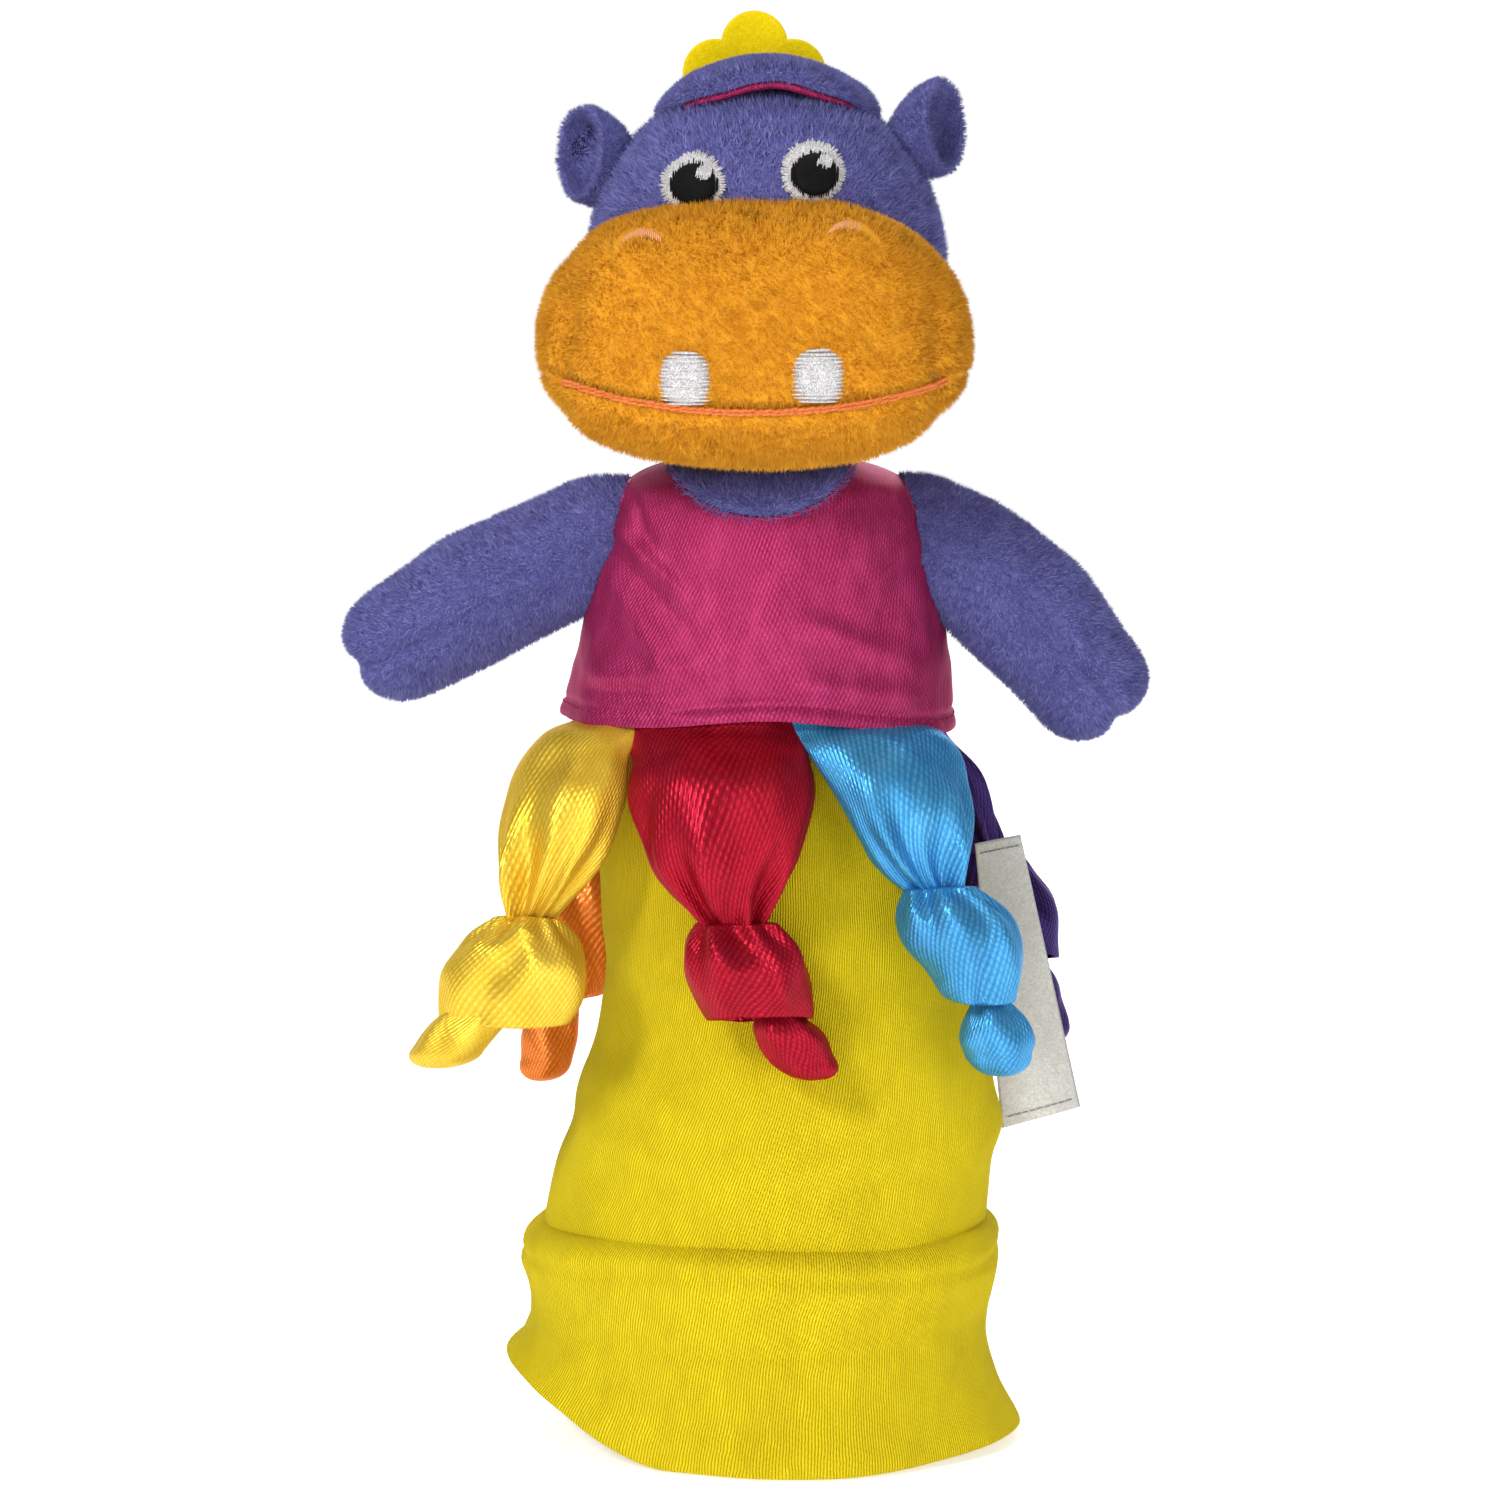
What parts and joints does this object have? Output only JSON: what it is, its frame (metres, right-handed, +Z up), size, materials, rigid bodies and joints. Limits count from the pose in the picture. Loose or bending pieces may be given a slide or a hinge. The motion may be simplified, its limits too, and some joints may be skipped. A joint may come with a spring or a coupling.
{
  "type": "sock puppet",
  "caption": "Hippo hand puppet on a knitted sock sleeve, with a satin vest, knotted ribbons, stuffed arms and a nodding plush head.",
  "frame": {"origin": "middle of the whole puppet's box on the ground, where the cuff's flat rim rests", "axes": "+Z up from the cuff to the hat, -Y the way the face looks, +X on a viewer's right"},
  "size_m": [0.1646, 0.0966, 0.2942],
  "materials": {
    "plush": "violet short-pile plush",
    "orange_plush": "orange short-pile plush",
    "satin": "magenta satin, twill back",
    "knit": "yellow cotton stockinette",
    "felt": "yellow pressed felt",
    "white_thread": "white rayon embroidery thread",
    "black_thread": "black rayon embroidery thread",
    "salmon_thread": "salmon rayon embroidery thread",
    "wadding": "polyester wadding and lining",
    "label_tape": "white woven label tape",
    "yellow_satin": "glossy yellow satin",
    "red_satin": "glossy red satin",
    "blue_satin": "glossy blue satin",
    "orange_satin": "glossy orange satin",
    "purple_satin": "glossy dark purple satin"
  },
  "bodies": {
    "sleeve": {"sock_cuff": "knit", "sock_lower": "knit"},
    "upper_body": {"sock_upper": "knit", "torso_plush": "plush", "vest_front": "satin", "vest_back": "satin"},
    "neck": {"neck_plush": "plush"},
    "head": {"head_cover": "plush", "head_stuffing": "wadding", "finger_pocket": "wadding", "snout_upper": "orange_plush", "snout_chin": "orange_plush", "snout_stuffing": "wadding", "mouth_stitch": "salmon_thread", "nostril_left": "salmon_thread", "nostril_right": "salmon_thread", "tooth_left": "white_thread", "tooth_right": "white_thread", "eye_white_left": "white_thread", "eye_white_right": "white_thread", "pupil_left": "black_thread", "pupil_right": "black_thread", "eye_glint_left": "white_thread", "eye_glint_right": "white_thread", "hat_top": "plush", "hat_lining": "satin", "hat_flower": "felt"},
    "ear_left": {"ear_left": "plush"},
    "ear_right": {"ear_right": "plush"},
    "arm_left": {"arm_left_cover": "plush", "arm_left_stuffing": "wadding"},
    "arm_right": {"arm_right_cover": "plush", "arm_right_stuffing": "wadding"},
    "label": {"side_label": "label_tape"},
    "ribbon_yellow": {"ribbon_yellow": "yellow_satin"},
    "ribbon_red": {"ribbon_red": "red_satin"},
    "ribbon_blue": {"ribbon_blue": "blue_satin"},
    "ribbon_orange": {"ribbon_orange": "orange_satin"},
    "ribbon_purple": {"ribbon_purple": "purple_satin"}
  },
  "joints": [
    {"name": "wrist_bend", "type": "hinge", "parent": "sleeve", "child": "upper_body", "pos_m": [0.0058, 0.0054, 0.057], "axis": [1, 0, 0], "range_deg": [-12, 15]},
    {"name": "neck_turn", "type": "hinge", "parent": "upper_body", "child": "neck", "pos_m": [0.004, 0.0054, 0.203], "axis": [0, 0, 1], "range_deg": [-20, 20]},
    {"name": "head_nod", "type": "hinge", "parent": "neck", "child": "head", "pos_m": [0.004, 0.0054, 0.212], "axis": [1, 0, 0], "range_deg": [-10, 6]},
    {"name": "arm_left_raise", "type": "hinge", "parent": "upper_body", "child": "arm_left", "pos_m": [-0.0437, 0.0054, 0.184], "axis": [0, 1, 0], "range_deg": [-15, 60]},
    {"name": "arm_right_raise", "type": "hinge", "parent": "upper_body", "child": "arm_right", "pos_m": [0.0518, 0.0054, 0.1806], "axis": [0, -1, 0], "range_deg": [-10, 60]},
    {"name": "ear_left_flop", "type": "hinge", "parent": "head", "child": "ear_left", "pos_m": [-0.0302, 0.0074, 0.2625], "axis": [0, 0, 1], "range_deg": [-15, 15], "stiffness_Nm_per_rad": 0.004},
    {"name": "ear_right_flop", "type": "hinge", "parent": "head", "child": "ear_right", "pos_m": [0.0378, 0.0074, 0.2665], "axis": [0, 0, 1], "range_deg": [-15, 15], "stiffness_Nm_per_rad": 0.004},
    {"name": "yellow_swing", "type": "hinge", "parent": "upper_body", "child": "ribbon_yellow", "pos_m": [-0.0332, -0.0131, 0.1489], "axis": [-0.6802, 0.733, 0], "range_deg": [0, 45]},
    {"name": "red_swing", "type": "hinge", "parent": "upper_body", "child": "ribbon_red", "pos_m": [-0.0062, -0.0236, 0.1481], "axis": [-0.986, 0.1666, 0], "range_deg": [0, 45]},
    {"name": "blue_swing", "type": "hinge", "parent": "upper_body", "child": "ribbon_blue", "pos_m": [0.0288, -0.0182, 0.1485], "axis": [-0.8506, -0.5259, 0], "range_deg": [0, 45]},
    {"name": "orange_swing", "type": "hinge", "parent": "upper_body", "child": "ribbon_orange", "pos_m": [-0.0192, 0.0334, 0.1485], "axis": [0.9175, 0.3978, 0], "range_deg": [0, 45]},
    {"name": "purple_swing", "type": "hinge", "parent": "upper_body", "child": "ribbon_purple", "pos_m": [0.0248, 0.0328, 0.1475], "axis": [0.9115, -0.4113, 0], "range_deg": [0, 45]},
    {"name": "label_flap", "type": "hinge", "parent": "upper_body", "child": "label", "pos_m": [0.0504, 0.00885, 0.093], "axis": [-0.0995, 0, 0.995], "range_deg": [-45, 12], "stiffness_Nm_per_rad": 0.002}
  ]
}
